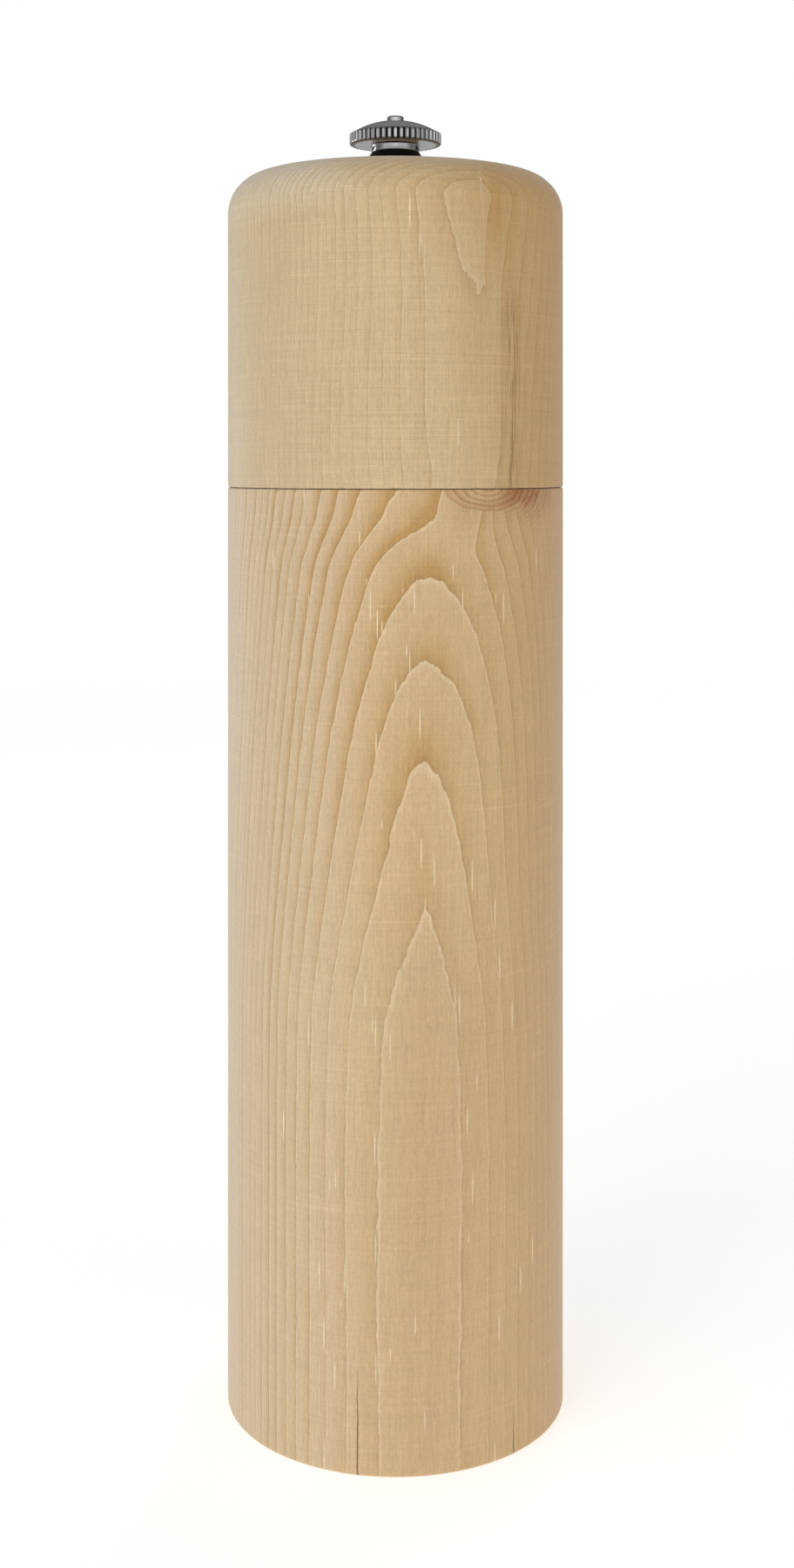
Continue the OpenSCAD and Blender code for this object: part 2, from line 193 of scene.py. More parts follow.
class Paint:
    """A material being made: object-space coordinates in millimetres, and a Principled shader."""

    def __init__(self, name):
        self.material = bpy.data.materials.new(name)
        self.material.use_nodes = True
        self.tree = self.material.node_tree
        self.shader = self.tree.nodes["Principled BSDF"]
        coordinates = self.tree.nodes.new("ShaderNodeTexCoord")
        split = self.tree.nodes.new("ShaderNodeSeparateXYZ")
        self.tree.links.new(coordinates.outputs["Object"], split.inputs[0])
        self.x, self.y, self.z = (Num(self.tree, split.outputs[i]) * 1000.0 for i in range(3))

    def point(self, x, y, z):
        node = self.tree.nodes.new("ShaderNodeCombineXYZ")
        for slot, value in zip(node.inputs, (x, y, z)):
            plug(self.tree, slot, value)
        return node.outputs[0]

    def stretched(self, across, along, offset=0.0):
        """The place in cells that are across wide and along tall, in millimetres."""
        x, y, z = self.x / across, self.y / across, self.z / along
        return self.point(x + offset, y + offset, z + offset)

    def noise(self, place, detail=2.0, roughness=0.5, distortion=0.0):
        """Noise about 0, mostly within 0.5 of it."""
        node = self.tree.nodes.new("ShaderNodeTexNoise")
        plug(self.tree, node.inputs["Vector"], place)
        node.inputs["Scale"].default_value = 1.0
        node.inputs["Detail"].default_value = detail
        node.inputs["Roughness"].default_value = roughness
        node.inputs["Distortion"].default_value = distortion
        return Num(self.tree, node.outputs["Fac"]) - 0.5

    def noise_1d(self, place, detail=0.0):
        node = self.tree.nodes.new("ShaderNodeTexNoise")
        node.noise_dimensions = "1D"
        plug(self.tree, node.inputs["W"], place)
        node.inputs["Scale"].default_value = 1.0
        node.inputs["Detail"].default_value = detail
        return Num(self.tree, node.outputs["Fac"]) - 0.5

    def random(self, place):
        """One random number from 0 to 1 for each whole number."""
        node = self.tree.nodes.new("ShaderNodeTexWhiteNoise")
        node.noise_dimensions = "1D"
        plug(self.tree, node.inputs["W"], place)
        return Num(self.tree, node.outputs["Value"])

    def dashes(self, across, along):
        """Distance to the nearest of a sheet's scattered points, and that point's random number."""
        node = self.tree.nodes.new("ShaderNodeTexVoronoi")
        node.voronoi_dimensions = "2D"
        plug(self.tree, node.inputs["Vector"], self.point(across, along, 0.0))
        node.inputs["Scale"].default_value = 1.0
        split = self.tree.nodes.new("ShaderNodeSeparateColor")
        self.tree.links.new(node.outputs["Color"], split.inputs[0])
        return Num(self.tree, node.outputs["Distance"]), Num(self.tree, split.outputs[0])

    def mix(self, share, first, second):
        """The first colour with this share of the second in it."""
        node = self.tree.nodes.new("ShaderNodeMix")
        node.data_type = "RGBA"
        plug(self.tree, node.inputs[0], share)
        plug(self.tree, node.inputs[6], first)
        plug(self.tree, node.inputs[7], second)
        return node.outputs[2]

    def shade(self, colour, factor):
        """colour made lighter or darker by factor, a Num about 1."""
        node = self.tree.nodes.new("ShaderNodeVectorMath")
        node.operation = "SCALE"
        plug(self.tree, node.inputs[0], colour)
        plug(self.tree, node.inputs["Scale"], factor)
        return node.outputs[0]

    def bump(self, height_mm, strength):
        node = self.tree.nodes.new("ShaderNodeBump")
        node.inputs["Strength"].default_value = strength
        node.inputs["Distance"].default_value = MM
        plug(self.tree, node.inputs["Height"], height_mm)
        return node.outputs[0]

    def finish(self, colour, roughness, normal=None, **constants):
        """Links what varies, and sets constants, named like the shader's sockets, on the sockets."""
        plug(self.tree, self.shader.inputs["Base Color"], colour)
        plug(self.tree, self.shader.inputs["Roughness"], roughness)
        if normal is not None:
            self.tree.links.new(normal, self.shader.inputs["Normal"])
        for name, value in constants.items():
            socket = name.replace("_", " ").title().replace("Ior", "IOR")
            self.shader.inputs[socket].default_value = value
        return self.material


# ---------------------------------------------------------------- wood

class Softwood(Paint):
    """Turned softwood. Each subclass is one blank: its growth rings, its colours and its marks.

    A place on it is a way round the mill in degrees, 0 at the front and positive to its right, and a
    height above the table. Every length is in millimetres, and a cell is the size of a noise's grains.
    """

    LATE = srgb(186, 144, 82)
    EDGE = srgb(240, 224, 190)
    WARM = srgb(194, 148, 84)
    PITCH = srgb(112, 82, 48)
    MIDDLE_FACING = 6.0
    MOST_LATE = 0.9
    EDGE_SHARE = 0.38
    LINE_TONE = 0.11
    FIBRE_TONE = 0.52
    RAY_TONE = 0.32
    BAND_TONE = 0.14
    SCORE_TONE = 0.07
    DASH_WIDE = 0.95
    DASH_LONG = 25.0
    DASH_SHARE = 0.75
    LINE_FROM = 0.90
    EDGE_TO = 1.0 / 11.0
    SHEEN = {"specular_ior_level": 0.45, "sheen_weight": 0.26, "sheen_roughness": 0.45}

    def __init__(self, name):
        super().__init__(name)
        self.across, self.out = self.facing(self.MIDDLE_FACING)

    def facing(self, degrees):
        """Distance to the right of the plane that faces this way round the mill, and out along it."""
        a = math.radians(degrees)
        right = self.x * math.cos(a) + self.y * math.sin(a)
        out = self.x * math.sin(a) - self.y * math.cos(a)
        return right, out

    def rings(self):
        """How far through its year's growth each point is, from 0 to 1, and its ring's own strength."""
        wander = self.noise(self.stretched(across=24.0, along=110.0), detail=1.0) * self.WANDER
        jag = self.noise(self.stretched(across=1.7, along=4.0, offset=7.0)) * 0.19
        distance = self.growth() + wander + jag - self.START
        uneven = self.noise_1d(distance / 2.9 + 11.3) * 0.4
        count = distance / self.SPACING + uneven
        strength = self.random(count.floor()) * 0.7 + 0.45
        return count.fract(), strength

    def grain(self):
        """A factor about 1 on the wood's lightness, and the fibres and lathe lines by themselves."""
        fibre = self.noise(self.stretched(across=0.20, along=6.0, offset=5.0), detail=3.0, roughness=0.65)
        ray = self.noise(self.stretched(across=0.34, along=0.9, offset=17.0))
        band = self.noise(self.stretched(across=0.9, along=30.0, offset=83.0))
        lathe = self.noise(self.stretched(across=22.0, along=0.16, offset=9.0))
        score = self.noise(self.stretched(across=30.0, along=0.9, offset=61.0), detail=1.0)
        here_only = self.noise(self.stretched(across=9.0, along=4.0, offset=67.0), detail=1.0)
        score = score.rise(0.13, 0.20) * here_only.rise(0.0, 0.12)
        tone = 1.0 + fibre * self.FIBRE_TONE + ray * self.RAY_TONE + band * self.BAND_TONE
        return tone + lathe * self.LATHE_TONE + score * self.SCORE_TONE, fibre, lathe

    def resin_dashes(self, grown):
        """Resin canals cut lengthwise: thin dashes in crowds, most of them late in a year's growth."""
        far, lot = self.dashes(self.across / self.DASH_WIDE, self.z / self.DASH_LONG)
        crowd = self.noise(self.stretched(across=8.0, along=18.0, offset=71.0), detail=1.0) * 2.2 + 0.05
        crowd = (crowd + grown.rise(0.40, 0.80) * 0.36) * self.across.bell(0.0, 19.0) * self.DASHES
        return far.rise(0.17, 0.08) * (crowd - lot).rise(0.0, 0.04)

    def build(self):
        """Puts together the colours, the marks and the relief. Each year ends in a dark line and
        starts with a pale edge."""
        grown, strength = self.rings()
        late = grown ** 2.3
        dark_line = grown.rise(self.LINE_FROM, 1.0)
        edge = (1.0 - grown / self.EDGE_TO).above(0.0)
        patch = self.noise(self.stretched(across=18.0, along=60.0, offset=3.0))
        pinkness = (patch * 1.6 + 0.45).above(0.0).below(1.0)
        # tint also paints a pale sheen on the body's left front, and a highlight on the head's left
        # shoulder
        colour = self.tint(self.mix(pinkness, self.PALE, self.PINK))
        plain = self.plain()

        blotch = self.noise(self.stretched(across=7.0, along=26.0, offset=31.0)) * 0.9 + 0.72
        late_share = (late * strength * blotch * self.depth() * self.CONTRAST).below(self.MOST_LATE)
        colour = self.mix(late_share * plain, colour, self.LATE)
        colour = self.mix(edge * plain * self.EDGE_SHARE * self.CONTRAST, colour, self.EDGE)
        warm = self.across.rise(0.0, 34.0) * self.out.rise(-20.0, 0.0)
        colour = self.mix(warm * self.WARM_SHARE, colour, self.WARM)

        colour, cracks = self.marks(colour)
        canal = self.resin_dashes(grown)
        colour = self.mix(canal * self.DASH_SHARE, colour, self.EDGE)
        tone, fibre, lathe = self.grain()
        colour = self.shade(colour, (tone - dark_line * plain * self.LINE_TONE) * self.heart())

        relief = late * 0.030 - edge * 0.012 + fibre * 0.034 + lathe * 0.016
        relief = relief - canal * 0.02 - cracks * 0.12
        roughness = 0.60 + fibre * 0.20 - late * 0.05
        return self.finish(colour, roughness, self.bump(relief, strength=0.9), **self.SHEEN)


class BodyWood(Softwood):
    PALE = srgb(209, 182, 138)
    PINK = srgb(208, 174, 133)
    # the whitish colour of the sheen painted on the left front
    PAINTED_SHEEN = srgb(210, 188, 156)
    KNOT = srgb(153, 90, 42)
    SPACING = 1.22
    START = 93.9
    WANDER = 0.5
    CONTRAST = 0.95
    WARM_SHARE = 0.42
    LATHE_TONE = 0.20
    DASHES = 1.0
    PITH_FACING = 8.5
    PITH_BEHIND = 60.0
    PITH_BEND = 0.00031
    BEND_FROM = 50.0
    STRAIGHT_UP_TO = 88.0
    ARCH_RIGHT = 1.2
    ARCH_DRIFT = 4.0
    POINTED_AT = 112.0
    POINTED_OVER = 30.0
    POINTED_SIDE = 5.0
    POINTED_BY = 0.5
    CLOSER = ((140.0, 157.0, 0.10), (157.0, 172.0, 0.09), (173.0, 185.0, 0.66))
    PUSH_FACING = 24.5
    PUSH_WIDE = 5.8
    PUSH_BY = 2.2
    KNOT_FACING = 31.0
    FAN_RIGHT = 10.5
    FAN_BELOW = 1.2
    FAN_WIDE = 7.6
    FAN_HIGH = 4.3

    def __init__(self, name):
        super().__init__(name)
        self.knot, self.knot_red = self.spike_knot()

    def growth(self):
        """Distance from the pith.

        The pith runs behind the mill and bends forward towards the top, so the front face cuts the
        rings nearly flat and shows arches that point up. They drift to the left as they rise, are
        more pointed low down and closer together near the seam, and the knot pushes them up.
        """
        right, out = self.facing(self.PITH_FACING)
        height = self.z.above(self.STRAIGHT_UP_TO) - self.BEND_FROM
        behind = self.PITH_BEHIND - height * height * self.PITH_BEND
        side = right + self.z.rise(90.0, 165.0) * self.ARCH_DRIFT - self.ARCH_RIGHT
        off_middle = 1.0 - (side.abs() * (-1.0 / self.POINTED_SIDE)).exp()
        pointed = off_middle * self.z.bell(self.POINTED_AT, self.POINTED_OVER) * self.POINTED_BY
        closer = sum(self.z.rise(low, high) * by for low, high, by in self.CLOSER)
        beside_knot, _ = self.facing(self.PUSH_FACING)
        pushed = beside_knot.bell(0.0, self.PUSH_WIDE) * self.z.rise(175.0, 189.0) * self.PUSH_BY
        return (side * side + (out + behind) ** 2.0).sqrt() - pointed - closer + pushed

    def painted_sheen_area(self):
        """Where a pale sheen is painted on the left front: painted light from the left, not the wood's own
        colour.
        """
        return self.across.rise(-5.0, -22.0) * self.out.rise(-4.0, 8.0)

    def tint(self, colour):
        """The blank's colour before its growth rings, with a pale sheen painted on its left front."""
        return self.mix(self.painted_sheen_area() * 0.60, colour, self.PAINTED_SHEEN)

    def depth(self):
        """How deep the late wood's colour is: most inside the arches, and on the left near the seam."""
        face = self.across.bell(0.0, 15.0) * self.out.rise(8.0, 20.0)
        left = self.painted_sheen_area() * (self.z.rise(140.0, 189.0) * 0.5 + 0.30)
        return face * self.z.rise(96.0, 125.0) * 1.9 + 0.60 + left

    def heart(self):
        """The wood inside the lowest arch is a little darker."""
        return 1.0 - self.across.bell(2.0, 12.0) * self.z.rise(118.0, 92.0) * 0.075

    def spike_knot(self):
        """A branch cut lengthwise at the seam: arcs hang from it, with a red streaked fan to the right.

        Gives the knot's share of the wood at each point and how red it is there, both from 0 to 1.
        """
        right, out = self.facing(self.KNOT_FACING)
        below = SEAM_Z / MM + 0.4 - self.z
        wobble = self.noise(self.stretched(across=3.0, along=3.0, offset=51.0))
        far = (right * right * 0.26 + below * below).sqrt() + wobble * 0.5
        arcs = far.rise(5.0, 4.4)
        arc_line = (far * 1.05).fract() ** 4.0
        red_arcs = arcs * (far.rise(1.4, 4.4) * 0.24 + arc_line * 0.66)
        along = (right - self.FAN_RIGHT) * (1.0 / self.FAN_WIDE)
        deep = (below - self.FAN_BELOW) * (1.0 / self.FAN_HIGH)
        fan = (wobble * 1.4 - (along * along + deep * deep)).exp()
        streak = (far * 1.22 + wobble * 0.9).fract() ** 2.0
        red_fan = fan * (streak * 0.70 + 0.52)
        front = out.rise(2.0, 10.0)
        share = arcs.op("MAXIMUM", fan.rise(0.2, 0.6)) * front
        return share, ((red_arcs + red_fan) * front).below(0.92)

    def plain(self):
        """Where the growth rings show: nearly nowhere in the knot."""
        return 1.0 - self.knot * 0.85

    def crack(self, degrees, low, high):
        """A drying crack from low up to high, a little crooked and widest at its foot."""
        right, out = self.facing(degrees)
        crooked = self.noise(self.stretched(across=50.0, along=2.6, offset=degrees)) * 0.5
        half_width = self.z.rise(high, low) * 0.12 + 0.05
        inside = (half_width - (right + crooked).abs()) * 14.0
        return inside.above(0.0).below(1.0) * out.rise(10.0, 20.0) * self.z.rise(high, high - 1.5)

    def marks(self, colour):
        """The knot and two cracks at the foot, which also give the depth of the cracks."""
        colour = self.mix(self.knot_red, colour, self.KNOT)
        left = self.crack(-12.0, low=5.0, high=22.0)
        right = self.crack(41.5, low=0.5, high=10.6)
        cracks = left.op("MAXIMUM", right)
        return self.mix(cracks * 0.85, colour, self.PITCH), cracks


class HeadWood(Softwood):
    PALE = srgb(211, 188, 146)
    PINK = srgb(207, 181, 139)
    # the whitish colour of the highlight painted on the left shoulder
    PAINTED_SHEEN = srgb(226, 211, 184)
    SPACING = 0.98
    START = 58.67
    WANDER = 0.3
    CONTRAST = 0.62
    WARM_SHARE = 0.66
    LATHE_TONE = 0.30
    DASHES = 0.25
    PITH_FACING = 28.0
    PITH_BEHIND = 60.0
    LOOP_TIP = 229.7
    LOOP_SLANT = 5.0
    CLIMB_OVER_TIP = 0.034
    CLIMB_UNDER_TIP = 0.021
    STEEP_SIDE = 4.0
    STEEP_BY = 1.2
    PITCH_FACING = 41.0
    SHADE_FACING = 34.5

    def growth(self):
        """Distance from the pith.

        The pith leans back towards the top, so the rings close downwards, in a loop with a steep
        right side. Its middle moves to the right as it goes down.
        """
        right, out = self.facing(self.PITH_FACING)
        side = right - self.z.rise(245.0, 195.0) * self.LOOP_SLANT
        steep = (1.0 - (side.above(0.0) * (-1.0 / self.STEEP_SIDE)).exp()) * self.STEEP_BY
        over_tip = self.z - self.LOOP_TIP
        climb = over_tip.above(0.0) * self.CLIMB_OVER_TIP + over_tip.below(0.0) * self.CLIMB_UNDER_TIP
        return (side * side + (out + self.PITH_BEHIND) ** 2.0).sqrt() + climb - steep

    def tint(self, colour):
        """A painted highlight makes the left shoulder paler, and the wood is warmer round the top of the
        loop.
        """
        # painted highlight: the left shoulder made paler and whiter
        painted_shoulder_highlight = self.across.rise(-5.0, -24.0) * self.z.rise(241.0, 254.0)
        colour = self.mix(painted_shoulder_highlight * 0.95, colour, self.PAINTED_SHEEN)
        loop_top = self.across.rise(-16.0, 6.0) * self.z.bell(244.0, 9.0)
        return self.mix(loop_top * 0.20, colour, self.WARM)

    def depth(self):
        """How deep the late wood's colour is: most on the right, and on the shoulder."""
        return self.across.rise(2.0, 26.0) * 0.8 + 0.55 + self.z.rise(226.0, 250.0) * 0.55

    def heart(self):
        """The head as a whole is a touch darker."""
        return 0.975

    def plain(self):
        """The growth rings show all over the head, which has no knot."""
        return 1.0

    def marks(self, colour):
        """Streaks of pitch right of the loop, in darker wood, and a shade beside the loop's top.

        The pitch is slightly sunk, which is given along with the colour.
        """
        right, out = self.facing(self.PITCH_FACING)
        front = out.rise(15.0, 24.0)
        thread = self.noise(self.stretched(across=0.26, along=11.0, offset=41.0))
        pitch = thread.rise(0.0, 0.08) * right.bell(0.0, 1.7) * front * self.z.rise(232.0, 224.0)
        colour = self.mix(pitch * 0.72, colour, self.PITCH)
        colour = self.mix(right.bell(0.0, 3.4) * front * 0.22, colour, self.LATE)
        beside_loop, _ = self.facing(self.SHADE_FACING)
        shade = beside_loop.bell(0.0, 1.9) * front * self.z.bell(244.0, 8.0)
        return self.mix(shade * 0.75, colour, self.LATE), pitch * 0.3


wood_body = BodyWood("body_softwood").build()
wood_head = HeadWood("head_softwood").build()


# ---------------------------------------------------------------- metals and plastics

def metal(name, tint, roughness, lines, grime):
    """A metal with drawn or turned lines of the given cell size in mm, mottling, and dull patches."""
    p = Paint(name)
    line = p.noise(p.point(p.x / lines[0], p.y / lines[1], p.z / lines[2]), detail=3.0, roughness=0.6)
    mottle = p.noise(p.stretched(across=1.9, along=1.9, offset=13.0), detail=3.0, roughness=0.6)
    worn = p.noise(p.stretched(across=6.0, along=6.0, offset=3.0))
    colour = p.shade(tint, 1.0 + line * 0.10 + mottle * 0.14 * grime - worn.above(0.0) * grime * 0.5)
    rough = (roughness + line * 0.08 + worn * 0.18 * grime + mottle * 0.10 * grime).above(0.03)
    return p.finish(colour, rough, p.bump(line * 0.006 + mottle * 0.004, strength=0.8), metallic=1.0)


def plastic(name, tint, roughness):
    """Moulded nylon: faint flow marks, a fine grained skin, and scuffs that catch the light."""
    p = Paint(name)
    grain = p.noise(p.stretched(across=0.22, along=0.22))
    flow = p.noise(p.stretched(across=5.0, along=9.0, offset=21.0), roughness=0.5, distortion=1.2)
    scuff = p.noise(p.stretched(across=0.6, along=4.0, offset=8.0), detail=3.0, roughness=0.7)
    scuff = scuff.rise(0.12, 0.3)
    colour = p.shade(tint, 1.0 + flow * 0.16 + scuff * 0.35)
    rough = roughness + flow * 0.12 + scuff * 0.15
    return p.finish(colour, rough, p.bump(grain * 0.010, strength=0.7))


def nickel():
    """Bright nickel plate on the nut, with faint orange peel, wipe marks, and its grooves darkened nearly
    to black.
    """
    p = Paint("knob_nickel_plate")
    rim_r, groove_low = knob_high.x / MM, (knob_low.z + DISC_UP) / MM
    groove_high = groove_low + KNURL_BAND / MM
    peel = p.noise(p.stretched(across=0.9, along=0.9))
    wipe = p.noise(p.stretched(across=0.12, along=2.5, offset=6.0))
    haze = p.noise(p.stretched(across=3.2, along=3.2, offset=9.0), detail=3.0)
    radius = (p.x * p.x + p.y * p.y).sqrt()
    # the knurl's grooves, darkened nearly to black and made rougher
    dark_grooves = radius.rise(rim_r - 0.12, rim_r - 0.42) * radius.rise(rim_r - 1.1, rim_r - 0.8)
    dark_grooves = dark_grooves * p.z.rise(groove_low - 0.1, groove_low + 0.3)
    dark_grooves = dark_grooves * p.z.rise(groove_high + 0.3, groove_high - 0.1)
    colour = p.shade(srgb(180, 180, 181), 1.0 + haze * 0.12)
    colour = p.mix(dark_grooves * 0.88, colour, srgb(34, 33, 32))
    rough = (0.10 + haze * 0.08 + wipe * 0.04 + dark_grooves * 0.3).above(0.04)
    return p.finish(colour, rough, p.bump(peel * 0.004 + wipe * 0.0012, strength=0.8), metallic=1.0)


def black_oxide():
    """The collar's blackened steel, with turned lines."""
    p = Paint("collar_black_oxide")
    grain = p.noise(p.stretched(across=0.5, along=0.5), detail=3.0)
    lathe = p.noise(p.stretched(across=9.0, along=0.12))
    colour = p.shade(srgb(46, 46, 50), 1.0 + grain * 0.5 + lathe * 0.25)
    return p.finish(colour, 0.34 + grain * 0.12, p.bump(lathe * 0.004, strength=0.8), metallic=0.85)


def hardened_steel():
    """The burrs: dark, slightly oily steel with a mottled scale and cut lines."""
    p = Paint("burr_hardened_steel")
    scale = p.noise(p.stretched(across=0.8, along=0.8), detail=4.0, roughness=0.65)
    cut = p.noise(p.stretched(across=0.3, along=4.0))
    colour = p.shade(srgb(118, 117, 116), 1.0 + scale * 0.55 + cut * 0.2)
    bump = p.bump(scale * 0.02 + cut * 0.006, strength=0.8)
    return p.finish(colour, 0.38 + scale * 0.30, bump, metallic=1.0)


steel_pressed = metal("pressed_steel", srgb(186, 187, 190), 0.30, lines=(8.0, 0.20, 0.20), grime=0.5)
steel_shaft = metal("drawn_steel", srgb(196, 196, 198), 0.24, lines=(0.16, 0.16, 14.0), grime=0.4)
steel_spring = metal("spring_wire", srgb(178, 178, 182), 0.26, lines=(0.5, 0.5, 0.5), grime=0.6)
steel_zinc = metal("zinc_plate", srgb(200, 204, 210), 0.28, lines=(0.7, 0.7, 0.7), grime=0.5)
brass = metal("turned_brass", srgb(212, 176, 98), 0.24, lines=(6.0, 6.0, 0.15), grime=0.5)
burr_steel = hardened_steel()
nylon_black = plastic("black_nylon", srgb(38, 38, 40), 0.42)
nylon_white = plastic("natural_nylon", srgb(222, 222, 214), 0.38)
knob_nickel = nickel()
collar_black = black_oxide()

CAD_MATERIALS = {
    "burr_housing": nylon_black,
    "stator": burr_steel,
    "rotor": burr_steel,
    "bridge": steel_pressed,
    "crossbar": steel_pressed,
    "drive_plate": steel_pressed,
    "spring_seat": nylon_white,
    "thrust_washer": nylon_white,
    "crossbar_screws": steel_zinc,
    "drive_plate_screws": steel_zinc,
    "rotor_clip": steel_spring,
    "pivot_bush": brass,
    "head_bush": brass,
    "knob_insert": brass,
    "shaft": steel_shaft,
}
for node, material in CAD_MATERIALS.items():
    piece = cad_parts[node]
    piece.data.materials.clear()
    piece.data.materials.append(material)


# ---------------------------------------------------------------- turned meshes

def arc(x, z, radius, start, end, steps):
    """Points on an arc about (x, z), with angles in degrees from the x axis."""
    angles = [math.radians(start + (end - start) * i / steps) for i in range(steps + 1)]
    return [(x + radius * math.cos(a), z + radius * math.sin(a)) for a in angles]


def line(first, last, spacing):
    """Points from first up to last, but not at last, about spacing apart."""
    across, up = last[0] - first[0], last[1] - first[1]
    steps = max(1, round(math.hypot(across, up) / spacing))
    return [(first[0] + across * i / steps, first[1] + up * i / steps) for i in range(steps)]


def mesh_piece(name, verts, faces):
    mesh = bpy.data.meshes.new(name)
    mesh.from_pydata(verts, [], faces)
    mesh.shade_smooth()
    mesh.update()
    piece = bpy.data.objects.new(name, mesh)
    scene.collection.objects.link(piece)
    return piece


def turned(name, outline, segments, shape=None):
    """A closed outline of (r, z) points turned about Z. shape(x, y, z, r) may move each point."""
    count = len(outline)
    verts = []
    for i in range(segments):
        a = 2 * math.pi * i / segments
        for r, z in outline:
            x, y = r * math.cos(a), r * math.sin(a)
            verts.append(shape(x, y, z, r) if shape else (x, y, z))
    faces = []
    for i in range(segments):
        here, there = i * count, (i + 1) % segments * count
        for j in range(count):
            k = (j + 1) % count
            faces.append((here + j, there + j, there + k, here + k))
    return mesh_piece(name, verts, faces)


def sharpen(piece, degrees=35.0):
    """Marks edges that turn more than this as sharp, and makes the normals point outwards."""
    shape = bmesh.new()
    shape.from_mesh(piece.data)
    bmesh.ops.recalc_face_normals(shape, faces=shape.faces)
    for edge in shape.edges:
        if len(edge.link_faces) == 2 and edge.calc_face_angle(0.0) > math.radians(degrees):
            edge.smooth = False
    shape.to_mesh(piece.data)
    shape.free()


def place(piece, body, material, slot, *nodes):
    piece.data.materials.append(material)
    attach(piece, body)
    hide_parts(*nodes)


WALL_FROM = 0.9 * MILL_R
WALL_WAVE = 0.035 * MM
WAVE_ACROSS = 30 * MM
WAVE_ALONG = 45 * MM
CHIP_SIZE = 1.7 * MM
CHIP_REACH = 1.0 * MM
CHIP_DEPTH = 0.55 * MM
CHIP_LEAST = 0.12
HEAD_CHIPS = Vector((0, 0, 5.0))
BODY_CHIPS = Vector((0, 0, 9.0))


def seam_chips(x, y, z, r):
    """Tiny chips broken out of the wood along the seam, and a wall that is not quite true."""
    if r <= WALL_FROM:
        return (x, y, z)
    wave = noise.noise(Vector((x / WAVE_ACROSS, y / WAVE_ACROSS, z / WAVE_ALONG))) * WALL_WAVE
    chip = 0.0
    gap = abs(z - SEAM_Z)
    if gap < CHIP_REACH:
        other_chips = HEAD_CHIPS if z > SEAM_Z else BODY_CHIPS
        rough = noise.noise(Vector((x, y, 0.0)) / CHIP_SIZE + other_chips)
        chip = max(0.0, rough - CHIP_LEAST) * CHIP_DEPTH * (1.0 - gap / CHIP_REACH)
    scale = (r - chip + wave - WALL_WAVE) / r
    return (x * scale, y * scale, z)


SEAM_GAP = 0.07 * MM
SEAM_SOFT = 0.25 * MM
SEAM_STEP = 0.15 * MM
SEAM_BAND = 1.0 * MM
WALL_STEP = 1.2 * MM
FOOT_SOFT = 0.8 * MM
SMALL_EDGE = 0.4 * MM
BORE_STEP = 4.0 * MM
ROOM_OVER_HOUSING = 1.2 * MM


def body_outline():
    """From the recess's wall down and round the foot, up the wall, and down through the bore."""
    top = SEAM_Z - SEAM_GAP
    socket_end = top - SOCKET_DEPTH
    burr_room = housing_high.z + ROOM_OVER_HOUSING
    recess_foot = (RECESS_R, SMALL_EDGE)
    socket_lip = (SOCKET_R + SMALL_EDGE, top)
    outline = line((RECESS_R, RECESS_TOP), recess_foot, 1.5 * MM)
    outline += [recess_foot, (RECESS_R + SMALL_EDGE, 0.0)]
    outline += line((RECESS_R + 1.0 * MM, 0.0), (MILL_R - FOOT_SOFT, 0.0), WALL_STEP)
    outline += arc(MILL_R - FOOT_SOFT, FOOT_SOFT, FOOT_SOFT, -90, 0, 6)
    outline += line((MILL_R, FOOT_SOFT + 0.5 * MM), (MILL_R, top - SEAM_BAND), WALL_STEP)
    outline += line((MILL_R, top - SEAM_BAND), (MILL_R, top - SEAM_SOFT), SEAM_STEP)
    outline += arc(MILL_R - SEAM_SOFT, top - SEAM_SOFT, SEAM_SOFT, 0, 90, 4)
    outline += line((MILL_R - 1.0 * MM, top), socket_lip, WALL_STEP)
    outline += [socket_lip, (SOCKET_R, top - SMALL_EDGE)]
    outline += line((SOCKET_R, top - 1.5 * MM), (SOCKET_R, socket_end), 2.0 * MM)
    outline += [(SOCKET_R, socket_end), (HOPPER_R + 0.3 * MM, socket_end)]
    outline += line((HOPPER_R, socket_end - 0.3 * MM), (HOPPER_R, burr_room), BORE_STEP)
    outline += [(HOPPER_R, burr_room), (HOUSING_R, burr_room)]
    outline += line((HOUSING_R, housing_high.z), (HOUSING_R, RECESS_TOP), BORE_STEP)
    outline += [(HOUSING_R, RECESS_TOP)]
    return outline


